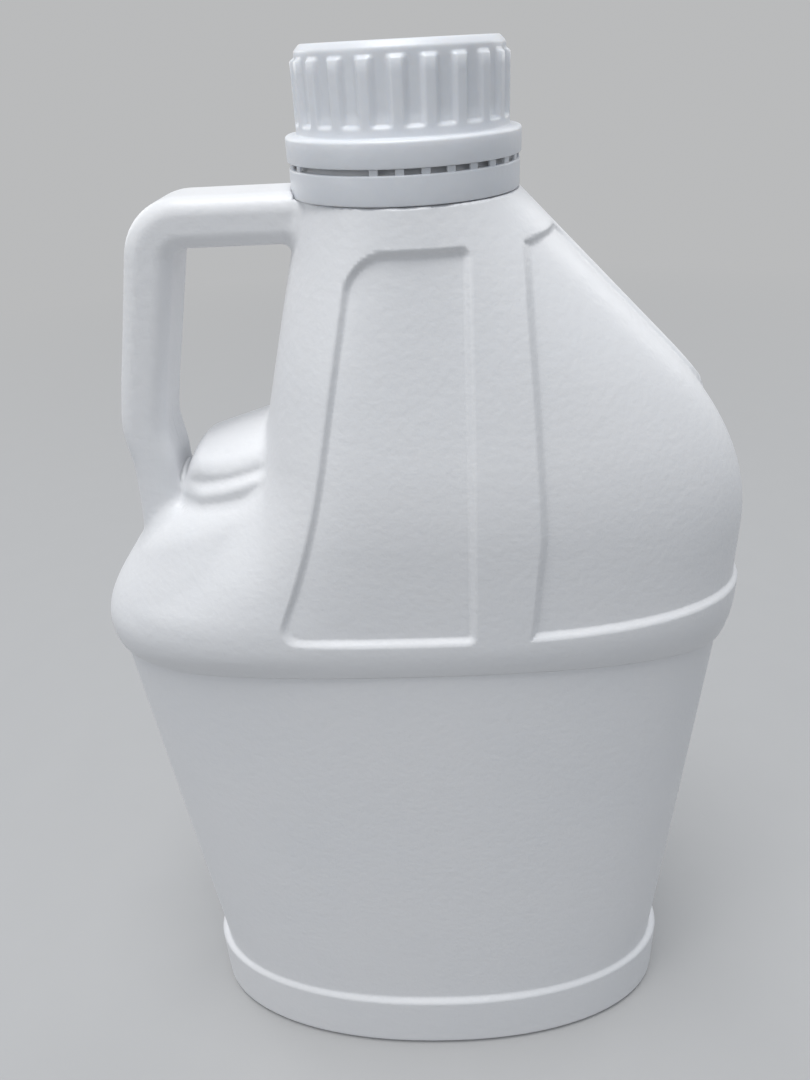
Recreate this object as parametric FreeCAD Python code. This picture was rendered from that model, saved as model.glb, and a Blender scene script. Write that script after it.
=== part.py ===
import FreeCAD, Part
import math
import os

Vector = FreeCAD.Vector

# Overall size
cap_top_height = 340.0
base_half_length = 89.0
base_half_depth = 40.4
neck_wall_radius = 22.0

# Walls
wall = 1.4
floor_thickness = 1.8
neck_wall = 2.4
cap_wall = 1.6
skirt_wall = 1.5
crown_thickness = 2.0
liner_thickness = 1.5

# Clearances
running_gap = 0.3
thread_gap = 0.4
liner_side_gap = 0.4
bridge_gap = 0.1
pocket_gap = 0.4
fuse_overlap = 0.3

# Base band and label zone
base_band_height = 26.0
base_edge_rise = 4.0
base_edge_inset = 2.6
push_up_rise = 3.0
foot_width = 10.0
label_recess = 1.7
label_ramp = 3.0
label_flare_left = 7.2
label_flare_right = 4.7
label_flare_depth = 0.2

# Shoulder, with drops measured down from the root of the neck
waist_drop = 133.0
waist_ramp = 7.0
waist_step_left = 5.8
waist_step_right = 4.7
waist_step_depth = 2.0
lobe_drop = 119.0
fold_drop = 71.0
slope_angle = 45.0
shoulder_round = 50.0
shoulder_round_steps = 4

# Handle side of the body, with insets measured in from the lobe
handle_root_inset = 16.5
handle_root_drop = 88.0
saddle_inset = 38.5
saddle_drop = 68.0
throat_step = 13.6
throat_drop = 56.0

# Handle tube
handle_thickness = 15.4
handle_half_depth = 10.0
handle_arm_drop = 3.6
handle_corner_inset = 35.5
handle_corner_radius = 17.0
handle_grip_inset = 25.9
handle_grip_drop = 59.0
handle_end_inset = 20.5
handle_end_drop = 105.0

# Shoulder panels
panel_recess = 1.1
panel_bottom_drop = 111.0
panel_top_drop = 8.5
main_panel_right = 14.5
main_panel_top_left = 9.0
main_panel_bottom_left = 36.5
main_panel_corner = 9.0
slope_panel_top_left = 29.0
slope_panel_bottom_left = 31.5
spine_half_width = 3.5

# Thread
thread_pitch = 5.0
thread_turns = 1.6
thread_depth = 1.3
thread_root_width = 2.0
thread_tip_width = 1.0
thread_start_drop = 13.0

# Cap
cap_rib_depth = 1.1
cap_rib_count = 22
cap_rib_width = 2.6
cap_rib_turn = -90.7
crown_edge = 2.4
rib_top_drop = 5.6
skirt_top_drop = 19.4
skirt_height = 5.9
skirt_overhang = 2.9

# Tamper band and the collar that carries it
band_height = 6.7
band_slot = 1.3
band_step = 0.3
band_lip_height = 3.2
collar_step = 3.4
bead_step = 1.8
bead_height = 2.6
bridge_first_angle = -103.0
bridge_pitch_angle = 12.0
bridges_per_side = 12
bridge_width = 2.0
bridge_depth = 0.9
root_drop = 1.7
root_step = 0.4

# Radii that follow from the neck
neck_bore_radius = neck_wall_radius - neck_wall
cap_inner_radius = neck_wall_radius + thread_depth + thread_gap
cap_wall_radius = cap_inner_radius + cap_wall
cap_rib_radius = cap_wall_radius + cap_rib_depth
skirt_radius = cap_rib_radius + skirt_overhang
band_radius = skirt_radius - band_step
collar_radius = neck_wall_radius + collar_step
bead_radius = collar_radius + bead_step
neck_root_radius = band_radius + root_step

# Heights that follow from the top of the cap
rim_height = cap_top_height - crown_thickness - liner_thickness
skirt_top_height = cap_top_height - skirt_top_drop
skirt_bottom_height = skirt_top_height - skirt_height
band_top_height = skirt_bottom_height - band_slot
band_bottom_height = band_top_height - band_height
lip_top_height = band_bottom_height + band_lip_height
bead_bottom_height = lip_top_height + running_gap
neck_root_height = band_bottom_height - root_drop

# Half-sizes that follow from the base
label_top_left = base_half_length + label_flare_left
label_top_right = base_half_length + label_flare_right
label_top_half_depth = base_half_depth + label_flare_depth
shoulder_left = label_top_left + waist_step_left
shoulder_right = label_top_right + waist_step_right
shoulder_half_depth = label_top_half_depth + waist_step_depth


def oval(z, left, right, half_depth):
    """Closed oval at one height, with its own half-length on each side."""
    centre = Vector(0, 0, z)
    edges = []
    for half_length, start in ((right, -90), (left, 90)):
        if half_length >= half_depth:
            ellipse = Part.Ellipse(centre, half_length, half_depth)
            turn = 0
        else:
            ellipse = Part.Ellipse(Vector(0, half_depth, z), Vector(half_length, 0, z), centre)
            turn = -90
        first = math.radians(start + turn)
        edges.append(Part.ArcOfEllipse(ellipse, first, first + math.pi).toShape())
    return Part.Wire(edges)


def below_neck(drop):
    """Height of a point that lies a drop below the root of the neck."""
    return neck_root_height - drop


def between(z, low, high):
    """Value at height z on the straight line between two (height, value) points."""
    share = (z - low[0]) / (high[0] - low[0])
    return low[1] + share * (high[1] - low[1])


def shoulder_round_heights():
    """Heights where the round of the right shoulder starts and ends."""
    lean = math.radians(slope_angle)
    corner = below_neck((shoulder_right - neck_root_radius) * math.tan(lean))
    tangent = shoulder_round * math.tan(lean / 2)
    return corner - tangent, corner + tangent * math.sin(lean)


def slope_right(z):
    """Right edge of the body: upright, then a round, then the straight slope to the neck."""
    low, high = shoulder_round_heights()
    if z >= high:
        return neck_root_radius + (neck_root_height - z) / math.tan(math.radians(slope_angle))
    rise = max(0.0, z - low)
    return shoulder_right - shoulder_round + math.sqrt(shoulder_round ** 2 - rise ** 2)


def handle_side_left(z):
    """Left edge of the body: upright at the lobe, then in under the handle and up to the neck."""
    points = [
        (below_neck(lobe_drop), shoulder_left),
        (below_neck(handle_root_drop), shoulder_left - handle_root_inset),
        (below_neck(saddle_drop), shoulder_left - saddle_inset),
        (below_neck(throat_drop), neck_root_radius + throat_step),
        (neck_root_height, neck_root_radius),
    ]
    if z <= points[0][0]:
        return shoulder_left
    for low, high in zip(points, points[1:]):
        if z <= high[0]:
            return between(z, low, high)
    return neck_root_radius


def front_depth(z):
    """Half depth of the shoulder: upright to the fold, then leaning in to the neck."""
    fold = below_neck(fold_drop)
    if z <= fold:
        return shoulder_half_depth
    return between(z, (fold, shoulder_half_depth), (neck_root_height, neck_root_radius))


def lower_stations():
    """Heights and half-sizes of the base band and the label zone."""
    foot = (base_half_length - base_edge_inset, base_half_depth - base_edge_inset)
    base = (base_half_length, base_half_depth)
    label = (base_half_length - label_recess, base_half_depth - label_recess)
    return [
        (0.0, foot[0], foot[0], foot[1]),
        (base_edge_rise, base[0], base[0], base[1]),
        (base_band_height, base[0], base[0], base[1]),
        (base_band_height + label_ramp, label[0], label[0], label[1]),
        (below_neck(waist_drop), label_top_left, label_top_right, label_top_half_depth),
    ]


def upper_stations():
    """Heights and half-sizes of the shoulder, from above the waist to the neck."""
    drops = [waist_drop - waist_ramp, lobe_drop, handle_root_drop, fold_drop, saddle_drop, throat_drop, 0.0]
    heights = [below_neck(drop) for drop in drops]
    low, high = shoulder_round_heights()
    step = (high - low) / shoulder_round_steps
    heights += [low + step * index for index in range(shoulder_round_steps + 1)]
    ordered = sorted(set(round(z, 3) for z in heights))
    return [(z, handle_side_left(z), slope_right(z), front_depth(z)) for z in ordered]


def body_core(inset):
    """Body without handle and neck, drawn in all round by the inset."""
    wires = [oval(z, left - inset, right - inset, depth - inset) for z, left, right, depth in lower_stations()]
    for z, left, right, depth in upper_stations():
        wires.append(oval(z - inset, left - inset, right - inset, depth - inset))
    return Part.makeLoft(wires, True, True)


def main_panel_outline():
    """Outline of the large shoulder panel beside the handle, in the front view."""
    low = below_neck(panel_bottom_drop)
    high = below_neck(panel_top_drop)
    return [
        (-main_panel_top_left, high),
        (main_panel_right, high),
        (main_panel_right, low),
        (main_panel_corner - main_panel_bottom_left, low),
        (-main_panel_bottom_left, low + main_panel_corner),
        (-main_panel_top_left - main_panel_corner / 2, high - main_panel_corner),
    ]


def slope_panel_outline():
    """Outline of the panel that runs round the sloped end, in the front view."""
    low = below_neck(panel_bottom_drop)
    high = below_neck(panel_top_drop)
    past_end = shoulder_right + wall
    return [
        (slope_panel_top_left, high),
        (past_end, high),
        (past_end, low),
        (slope_panel_bottom_left, low),
    ]


def panel_prism(outline, side):
    """Panel outline carried through the front or the back half, clear of the middle spine."""
    points = [Vector(x, side * spine_half_width, z) for x, z in outline]
    face = Part.Face(Part.makePolygon(points + points[:1]))
    return face.extrude(Vector(0, side * shoulder_half_depth, 0))


def sink_panels(body, inset):
    """Body with its four shoulder panels sunk in by the panel recess below the given inset."""
    core = body_core(inset + panel_recess)
    outlines = (main_panel_outline(), slope_panel_outline())
    prisms = [panel_prism(outline, side) for outline in outlines for side in (-1, 1)]
    return body.cut([prism.cut(core) for prism in prisms])


def body_inside():
    """Hollow of the body, one wall inside it and behind its sunk panels, above a raised floor."""
    hollow = sink_panels(body_core(wall), wall)
    under_floor = Part.makeBox(
        2 * shoulder_left,
        2 * shoulder_half_depth,
        push_up_rise + floor_thickness,
        Vector(-shoulder_left, -shoulder_half_depth, 0),
    )
    return hollow.cut(under_floor)


def handle_path():
    """Centre line of the handle in the middle plane, from inside the neck to inside the lobe."""
    arm_height = below_neck(handle_arm_drop)
    start = Vector(0, 0, arm_height)
    corner = Vector(handle_corner_inset - shoulder_left, 0, arm_height)
    grip = Vector(handle_grip_inset - shoulder_left, 0, below_neck(handle_grip_drop))
    end = Vector(handle_end_inset - shoulder_left, 0, below_neck(handle_end_drop))
    along = (start - corner).normalize()
    down = (grip - corner).normalize()
    half_turn = along.getAngle(down) / 2
    reach = handle_corner_radius / math.tan(half_turn)
    bisector = (along + down).normalize()
    middle = corner + bisector * (handle_corner_radius / math.sin(half_turn) - handle_corner_radius)
    arc_start = corner + along * reach
    arc_end = corner + down * reach
    edges = [
        Part.LineSegment(start, arc_start).toShape(),
        Part.Arc(arc_start, middle, arc_end).toShape(),
        Part.LineSegment(arc_end, grip).toShape(),
        Part.LineSegment(grip, end).toShape(),
    ]
    return Part.Wire(edges)


def band_pocket(inset):
    """Space round the neck that the tamper band turns in, grown by the inset."""
    radius = band_radius + pocket_gap + inset
    bottom = band_bottom_height - pocket_gap - inset
    return Part.makeCylinder(radius, cap_top_height - bottom, Vector(0, 0, bottom))


def handle_tube(inset):
    """Handle swept along its centre line, drawn in by the inset and cut clear of the tamper band."""
    half_thickness = handle_thickness / 2 - inset
    half_depth = handle_half_depth - inset
    centre = Vector(0, 0, below_neck(handle_arm_drop))
    section = Part.Ellipse(centre + Vector(0, half_depth, 0), centre + Vector(0, 0, half_thickness), centre)
    sweep = Part.BRepOffsetAPI.MakePipeShell(handle_path())
    sweep.setTransitionMode(2)
    sweep.add(Part.Wire([section.toShape()]))
    sweep.build()
    sweep.makeSolid()
    return sweep.shape().cut(band_pocket(inset))


def thread_ridge(wall_radius, depth, start_height):
    """One helical ridge standing depth proud of a wall, inwards where depth is negative."""
    helix = Part.makeHelix(thread_pitch, thread_pitch * thread_turns, wall_radius)
    root = wall_radius - math.copysign(fuse_overlap, depth)
    tip = wall_radius + depth
    corners = [
        Vector(root, 0, -thread_root_width / 2),
        Vector(tip, 0, -thread_tip_width / 2),
        Vector(tip, 0, thread_tip_width / 2),
        Vector(root, 0, thread_root_width / 2),
    ]
    profile = Part.makePolygon(corners + corners[:1])
    ridge = Part.Wire(helix.Edges).makePipeShell([profile], True, True)
    ridge.translate(Vector(0, 0, start_height))
    return ridge


def neck_outside():
    """Neck with its collar, the bead that traps the tamper band, and the thread."""
    bottom = neck_root_height - wall
    tube = Part.makeCylinder(neck_wall_radius, rim_height - bottom, Vector(0, 0, bottom))
    collar = Part.makeCylinder(collar_radius, bead_bottom_height - bottom, Vector(0, 0, bottom))
    bead = Part.makeCone(bead_radius, collar_radius, bead_height, Vector(0, 0, bead_bottom_height))
    ridge = thread_ridge(neck_wall_radius, thread_depth, rim_height - thread_start_drop)
    return tube.fuse([collar, bead]).fuse(ridge)


def bottle_body():
    """Blow-moulded shell: body, hollow handle and threaded neck in one piece."""
    outside = sink_panels(body_core(0), 0).fuse([handle_tube(0), neck_outside()])
    foot_length = base_half_length - foot_width
    push_up = Part.Face(oval(0, foot_length, foot_length, base_half_depth - foot_width))
    hollow_top = neck_root_height - wall
    bore = Part.makeCylinder(neck_bore_radius, rim_height - hollow_top, Vector(0, 0, hollow_top))
    hollows = [push_up.extrude(Vector(0, 0, push_up_rise)), body_inside(), handle_tube(wall), bore]
    return outside.cut(hollows).removeSplitter()


def cap_rib(index):
    """One grip rib on the wall of the cap."""
    low = skirt_top_height
    high = cap_top_height - rib_top_drop
    inner = cap_wall_radius - fuse_overlap
    rib = Part.makeBox(cap_rib_radius - inner, cap_rib_width, high - low, Vector(inner, -cap_rib_width / 2, low))
    rib.rotate(Vector(0, 0, 0), Vector(0, 0, 1), cap_rib_turn + index * 360.0 / cap_rib_count)
    return rib


def screw_cap():
    """Ribbed cap with a wide plain skirt and an inside thread."""
    edge_height = cap_top_height - crown_edge
    shell = Part.makeCylinder(cap_wall_radius, edge_height - skirt_top_height, Vector(0, 0, skirt_top_height))
    crown = Part.makeCone(cap_wall_radius, cap_wall_radius - crown_edge, crown_edge, Vector(0, 0, edge_height))
    skirt_start = Vector(0, 0, skirt_bottom_height)
    skirt = Part.makeCylinder(skirt_radius, skirt_height, skirt_start)
    solid = shell.fuse([crown, skirt] + [cap_rib(index) for index in range(cap_rib_count)])
    inside_height = cap_top_height - crown_thickness - skirt_bottom_height
    inside = Part.makeCylinder(cap_inner_radius, inside_height, skirt_start)
    relief = Part.makeCylinder(skirt_radius - skirt_wall, skirt_height - skirt_wall, skirt_start)
    ridge_start = rim_height - thread_start_drop + thread_pitch / 2
    ridge = thread_ridge(cap_inner_radius, -thread_depth, ridge_start)
    return solid.cut([inside, relief]).fuse(ridge).removeSplitter()


def cap_liner():
    """Foam disc between the rim of the neck and the crown of the cap."""
    radius = cap_inner_radius - liner_side_gap
    return Part.makeCylinder(radius, liner_thickness, Vector(0, 0, rim_height))


def bridge(angle):
    """One thin bridge on the top edge of the band, parted from the cap by a hair."""
    low = band_top_height - fuse_overlap
    high = skirt_bottom_height - bridge_gap
    start = Vector(band_radius - bridge_depth, -bridge_width / 2, low)
    tab = Part.makeBox(bridge_depth - fuse_overlap, bridge_width, high - low, start)
    tab.rotate(Vector(0, 0, 0), Vector(0, 0, 1), angle)
    return tab


def tamper_band():
    """Loose ring with a lip under the bead of the neck, a row of bridges and two long open slots."""
    bottom = Vector(0, 0, band_bottom_height)
    sleeve = Part.makeCylinder(band_radius, band_height, bottom)
    angles = [
        bridge_first_angle + side + index * bridge_pitch_angle
        for side in (0, 180)
        for index in range(bridges_per_side)
    ]
    solid = sleeve.fuse([bridge(angle) for angle in angles])
    lip_bore = Part.makeCylinder(collar_radius + running_gap, band_height, bottom)
    bead_bore = Part.makeCylinder(
        bead_radius + running_gap, band_top_height - lip_top_height, Vector(0, 0, lip_top_height)
    )
    return solid.cut([lip_bore, bead_bore]).removeSplitter()


def write_parts():
    """Write each piece to its own file."""
    os.makedirs("parts", exist_ok=True)
    pieces = {
        "bottle_body": bottle_body(),
        "screw_cap": screw_cap(),
        "cap_liner": cap_liner(),
        "tamper_band": tamper_band(),
    }
    for name, shape in pieces.items():
        shape.exportStep("parts/" + name + ".step")
        print(name, len(shape.Solids), "solid", shape.isValid(), round(shape.Volume / 1000, 2), "cm3")


write_parts()
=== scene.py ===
import math

import bmesh
import bpy
import numpy as np
from mathutils import Matrix, Vector


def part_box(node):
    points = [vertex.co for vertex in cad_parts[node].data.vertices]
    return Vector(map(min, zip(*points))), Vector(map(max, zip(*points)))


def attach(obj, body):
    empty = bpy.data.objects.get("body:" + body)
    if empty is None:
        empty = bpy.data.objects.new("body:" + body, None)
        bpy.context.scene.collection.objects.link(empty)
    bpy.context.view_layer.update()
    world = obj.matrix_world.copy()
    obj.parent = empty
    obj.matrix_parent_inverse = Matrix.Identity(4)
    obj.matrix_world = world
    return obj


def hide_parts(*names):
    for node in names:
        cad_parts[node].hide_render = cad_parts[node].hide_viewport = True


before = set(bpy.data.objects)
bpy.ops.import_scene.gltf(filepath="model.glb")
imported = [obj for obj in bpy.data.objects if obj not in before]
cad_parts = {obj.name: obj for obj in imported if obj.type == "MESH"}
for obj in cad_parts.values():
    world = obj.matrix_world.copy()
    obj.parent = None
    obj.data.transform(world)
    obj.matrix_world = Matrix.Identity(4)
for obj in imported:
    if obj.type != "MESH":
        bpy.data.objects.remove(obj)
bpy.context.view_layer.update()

# Sizes are in millimetres unless a comment says otherwise, and meshes are scaled to metres when they are made
MM = 0.001

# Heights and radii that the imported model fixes
rim_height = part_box("bottle_body")[1].z / MM
cap_bottom, cap_top = (corner.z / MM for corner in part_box("screw_cap"))
skirt_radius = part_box("screw_cap")[1].y / MM
band_bottom, bridge_top = (corner.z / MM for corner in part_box("tamper_band"))
band_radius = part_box("tamper_band")[1].y / MM
liner_bottom, liner_top = (corner.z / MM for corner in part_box("cap_liner"))
liner_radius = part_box("cap_liner")[1].y / MM

# Base band and label zone
base_half_length = 89.0
base_half_depth = 40.4
base_power = 2.15
base_band_top = 26.5
base_band_edge = 2.0
base_foot_edge = 3.0
base_cove = 1.2
foot_width = 10.0
push_up_rise = 3.0
foot_inner_edge = 1.0
label_foot_left = 83.5
label_foot_right = 84.2
label_foot_depth = 38.5
label_lean_left = 0.086
label_lean_right = 0.061
label_lean_depth = 0.008
label_power = 2.25
label_hidden_top = 184.0

# Waist, where the shoulder overhangs the label zone
waist_front_height = 180.4
waist_drop_left = 9.6
waist_drop_right = 8.5
waist_drop_power = 2.6
waist_end_left = 97.0
waist_end_right = 94.0
waist_lip = 0.7
waist_corner = 0.4

# Shoulder
shoulder_right = 98.0
shoulder_left = 90.0
shoulder_half_depth = 42.7
slope_sum = 335.5
slope_round = 26.0
fold_height = 234.0
fold_round = 2.5
front_lean = 0.19
shoulder_power = 2.4
neck_side_power = 2.7
neck_root_power = 2.05
neck_round_start = 262.0
band_pocket_gap = 0.12
band_pocket_edge = 0.5
neck_root_height = band_bottom - band_pocket_gap
neck_root_edge = 0.3
collar_radius = 25.4
collar_fillet = 0.8
round_start_front = 192.0
round_radius_front = 30.0
round_start_right = 186.0
round_radius_right = 50.0
round_start_left = 182.0
round_radius_left = 16.5

# Handle side of the shoulder
throat_top = 31.0
throat_height = 291.0
throat_lean = 0.25
flare_height = 243.0
flare_drop = 48.0
flare_reach = 38.0
flare_round = 6.0
root_centre = -40.0
root_reach = 41.5
root_swell = 19.5
root_swell_heights = (224.0, 184.0)
root_depth = 22.0
root_spread = 17.0
root_spread_heights = (236.0, 186.0)
root_top = 233.6
root_top_lean = 0.44
root_top_edge = 7.0
root_tuck = 0.6
root_tuck_lean = 0.9
root_tuck_round = 5.0
root_power = 2.2
cushion_centre = -46.0
cushion_half_length = 24.4
cushion_half_depth = 20.5
cushion_power = 2.4
cushion_nose_power = 2.0
cushion_top = 246.3
cushion_lean = 0.31
cushion_dome = 4.6
cushion_nose = -61.0
cushion_nose_bend = 0.15
cushion_edge = 3.2
plinth_drop = 9.6
plinth_margin = 2.6
plinth_end_margin = 0.6
plinth_edge = 2.4
cushion_fillet = 2.0
plinth_crease = 1.7
cushion_end_fillet = 3.0
cushion_end_places = (-60.0, -69.0)

# Handle, where the line of the grip goes through (height, x) points
arm_height = 302.1
handle_corner = -65.1
handle_corner_radius = 10.5
grip_foot = 206.0
grip_line = (
    (grip_foot, -78.0), (226.0, -76.3), (236.0, -76.1), (247.0, -77.1),
    (256.0, -75.6), (270.0, -72.4), (292.0, -67.4), (arm_height, handle_corner),
)
handle_half_thickness = 6.35
handle_half_depth = 11.5
handle_edge = 4.5
arm_fillet = 3.0
root_fillet = 4.5
fillet_heights = (264.0, 236.0)
lobe_fillet = 4.0
lobe_fillet_heights = (215.0, 190.0)
handle_foot_fillet = 5.0
handle_foot_outer_fillet = 3.0
handle_foot_places = (-84.0, -74.0)

# Shoulder panels, where the slope panel's left edge goes through (height, x) points
panel_depth = 1.6
panel_edge = 1.2
panel_bottom = 194.0
main_panel_top = 296.5
main_panel_right = 14.4
main_panel_left_height = 289.4
main_panel_left = -14.5
main_panel_lean = 0.207
main_panel_bow_height = 245.0
main_panel_bow = 0.0025
main_panel_round_top = 9.0
main_panel_round_bottom = 7.0
main_panel_round_right = 1.5
slope_panel_left = (
    (panel_bottom, 31.3), (210.0, 32.3), (219.0, 33.1), (226.0, 33.3),
    (236.0, 32.7), (259.0, 31.1), (282.0, 29.4), (296.0, 28.9),
)
slope_panel_top = 296.3
slope_panel_top_lean = 0.12
slope_panel_round = 4.0
main_edge_line = -26.0
slope_edge_line = 31.0
spine_half_width = 2.5
spine_fade = 8.0
spine_fade_heights = (258.0, 240.0)

# Grid that the outside is found on: its start, then stretches as (end, step), finer at crisp edges
skin_grid_x = (-107.0, (
    (-72.0, 1.7), (-38.0, 1.15), (-31.0, 2.0), (-23.0, 0.6), (-15.0, 1.0),
    (12.0, 2.2), (17.0, 0.7), (28.5, 2.2), (33.5, 0.7), (101.0, 2.1),
))
skin_grid_y = (-46.0, ((-26.0, 2.2), (-4.0, 1.3), (4.0, 0.8), (26.0, 1.3), (46.0, 2.2)))
skin_grid_z = (-2.0, (
    (5.0, 0.8), (23.0, 3.6), (30.0, 0.6), (170.0, 5.6), (186.0, 0.65), (192.0, 1.5), (197.0, 0.7),
    (225.0, 2.0), (249.0, 0.85), (284.0, 2.0), (303.0, 0.8), (309.0, 0.5), (312.0, 0.8),
))

# How far that grid is bent to follow the slanted panel edges and the dropping waist
bend_left_end = -100.0
bend_right_end = 60.0
bend_margin = 3.0
bend_heights = (120.0, waist_front_height, panel_bottom - 2.0)
bend_most = 20.0

# Grid that the inside is found on, as (start, end) for each axis
inside_grid_ends = ((-107.0, 101.0), (-46.0, 46.0), (-2.0, 314.0))
inside_grid_step = 5.0

# Neck under the cap
wall = 1.4
neck_radius = 22.0
bore_radius = 19.6
bead_radius = 27.2
bead_bottom = 310.2
bead_top = 312.8
bead_seat_edge = 0.3
bead_top_edge = 0.6
bead_back_rise = 3.4
neck_step_rise = 3.8
neck_step_edge = 0.8
threaded_rise = 6.0
threaded_drop = 1.2
threaded_row_step = 0.42
rim_depth = 1.0
rim_edge = 0.5
bore_top_drop = 4.0
bore_foot_gap = 0.8
bore_row_count = 9
bore_bottom = 280.0
bore_fillet = 2.0
neck_segments = 144
skin_cut_height = 307.0
skin_seam_gap = 0.6
bore_cut_height = 304.0
thread_pitch = 5.0
thread_turns = 1.6
thread_depth = 1.3
thread_root_width = 2.0
thread_tip_width = 1.0
thread_start_drop = 13.0
thread_fade_turns = 0.06
thread_steps = 160
thread_sink = 0.3
thread_least_share = 0.12

# Cap
rib_count = 22
rib_first_angle = -90.7
rib_radius = 26.4
cap_wall_radius = 25.3
cap_inner_radius = 23.7
rib_half_width = 1.75
rib_edge = 0.75
rib_foot_height = 322.6
rib_foot_rise = 1.1
rib_head_height = 337.4
rib_head_rise = 1.1
skirt_top = 320.6
skirt_wall = 1.5
crown_bevel = 1.5
crown_drop = 1.5
crown_edge = 1.0
crown_inner_edge = 0.4
rib_foot_gap = 0.3
skirt_root_edge = 0.5
skirt_top_edge = 0.7
skirt_foot_edge = 0.3
skirt_inner_edge = 0.6
cap_bore_edge = 0.3

# Tamper band and liner
band_top = 313.4
band_lip_edge = 0.3
band_foot_edge = 0.35
band_top_edge = 0.5
band_bore_edge = 0.2
lip_top = 309.9
band_running_gap = 0.3
bridges_per_side = 12
bridge_first_angle = -103.0
bridge_pitch_angle = 12.0
bridge_width = 2.0
bridge_depth = 0.6
bridge_inset = 0.9
bridge_sink = 0.5
liner_edge = 0.3

# Meshes: segments round the axis, welding distances, and the angles in degrees past which an edge is sharp
turned_segments = 192
copy_weld = 0.01
seam_weld = 0.005
body_sharp_angle = 35.0
cap_sharp_angle = 40.0

# Plastic: noise in lumps per metre, and heights and depths in millimetres
body_tones = ((0.84, 0.84, 0.85, 1), (0.82, 0.825, 0.84, 1))
body_roughness = 0.42
body_peel = 0.6
body_translucence = 0.05
cap_tones = ((0.79, 0.805, 0.835, 1), (0.77, 0.79, 0.825, 1))
cap_roughness = 0.36
cap_peel = 0.4
cap_translucence = 0.45
mottle_scale = 18.0
rub_scale = 60.0
rub_smoother = 0.04
rub_rougher = 0.05
wave_scale = 22.0
wave_height = 0.6
wave_strength = 0.35
ripple_scale = 150.0
ripple_height = 0.12
peel_scale = 480.0
peel_height = 0.2
parting_line_edges = (0.1, 0.45)
parting_line_height = 0.12
parting_line_strength = 0.4
scatter_colours = (1.0, 0.9, 0.8)
scatter_depth = 3.0
plastic_ior = 1.54

# Foam: cells per metre, and heights in millimetres
foam_tones = ((0.8, 0.8, 0.77, 1), (0.7, 0.7, 0.67, 1))
foam_scale = 1400.0
foam_cell_edges = (0.0, 0.8)
foam_roughness = (0.75, 0.9)
foam_height = 0.2
foam_strength = 0.5

# Floor, backdrop and room, in metres and linear tones
floor_width = 40.0
floor_tones = ((0.465, 0.465, 0.465, 1), (0.48, 0.48, 0.48, 1))
floor_grain_scale = 40.0
floor_roughness = 0.8
floor_bounce_tone = (0.3, 0.3, 0.3, 1)
floor_fade = (0.25, 1.3)
backdrop_tone = (0.49, 0.495, 0.50, 1)
room_tone = (0.86, 0.92, 1.0, 1)
room_light = 0.45

# Lamps: name, place and size in metres, and power in watts
lamp_aim = (0.0, 0.0, 0.18)
lamps = (
    ("top_softbox", (-0.15, -0.40, 2.2), 1.1, 30.0),
    ("left_fill", (-1.2, -0.9, 0.6), 0.7, 2.6),
    ("right_fill", (1.2, -0.8, 0.55), 0.7, 0.6),
    ("left_back_fill", (-1.1, 1.0, 0.7), 0.7, 2.6),
    ("right_back_fill", (1.1, 1.0, 0.7), 0.7, 2.6),
)

# Camera, fitted to the cap rings and the base outline: place and sensor in millimetres, turns in degrees,
# clip in metres
image_width = 810
image_height = 1080
focal_pixels = 874.053
camera_place = (5.505, -239.023, 339.202)
camera_yaw = -2.501
camera_pitch = 29.627
camera_roll = 3.071
sensor_width = 36.0
near_clip = 0.01


def ease(start, end, value):
    """Smooth step that is 0 before start and 1 past end, whichever of them is larger."""
    share = np.clip((value - start) / (end - start), 0, 1)
    return share * share * (3 - 2 * share)


def between(first, second, share):
    """Value at a share of the way from the first to the second."""
    return first + (second - first) * share


def soft_min(a, b, width):
    """Smaller of two values, blended where they lie within the width of each other."""
    share = np.clip(0.5 + 0.5 * (b - a) / width, 0, 1)
    return b + (a - b) * share - width * share * (1 - share)


def round_union(a, b, radius):
    """Two forms joined with a fillet of the radius between them."""
    reach = np.hypot(np.maximum(radius - a, 0), np.maximum(radius - b, 0))
    return np.maximum(radius, np.minimum(a, b)) - reach


def round_cut(a, b, radius):
    """What two forms have in common, with its edge rounded to the radius."""
    reach = np.hypot(np.maximum(radius + a, 0), np.maximum(radius + b, 0))
    return np.minimum(-radius, np.maximum(a, b)) + reach


def oval(x, y, half_length, half_depth, power):
    """Signed distance, close enough near the edge, from an oval section."""
    half_length = np.maximum(half_length, 1.0)
    half_depth = np.maximum(half_depth, 1.0)
    across = np.maximum(np.abs(x), 1e-6) / half_length
    deep = np.maximum(np.abs(y), 1e-6) / half_depth
    size = (across ** power + deep ** power) ** (1 / power)
    steep_across = (across / size) ** (power - 1) / half_length
    steep_deep = (deep / size) ** (power - 1) / half_depth
    return (size - 1) / np.hypot(steep_across, steep_deep)


def smooth_line(points, value):
    """Smooth curve through (place, level) points that rise in place."""
    place, level = np.array(points).T
    lean = np.gradient(level, place)
    index = np.clip(np.searchsorted(place, value) - 1, 0, len(place) - 2)
    width = place[index + 1] - place[index]
    share = np.clip((value - place[index]) / width, 0, 1)
    rest = 1 - share
    ends = level[index] * (1 + 2 * share) * rest ** 2 + level[index + 1] * (1 + 2 * rest) * share ** 2
    return ends + width * share * rest * (lean[index] * rest - lean[index + 1] * share)


def drawn_in(z, start, radius):
    """How far a wall has curved in at height z, below the start of its round."""
    return np.maximum(0, start - z) ** 2 / (2 * radius)


def base_band(x, y, z):
    """Plain band round the foot, with a rounded ledge on top and a raised underside."""
    side = oval(x, y, base_half_length, base_half_depth, base_power)
    band = round_cut(side, z - base_band_top, base_band_edge)
    band = round_cut(band, -z, base_foot_edge)
    raised = round_cut(side + foot_width, z - push_up_rise, push_up_rise / 2)
    return round_cut(band, -raised, foot_inner_edge)


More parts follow.
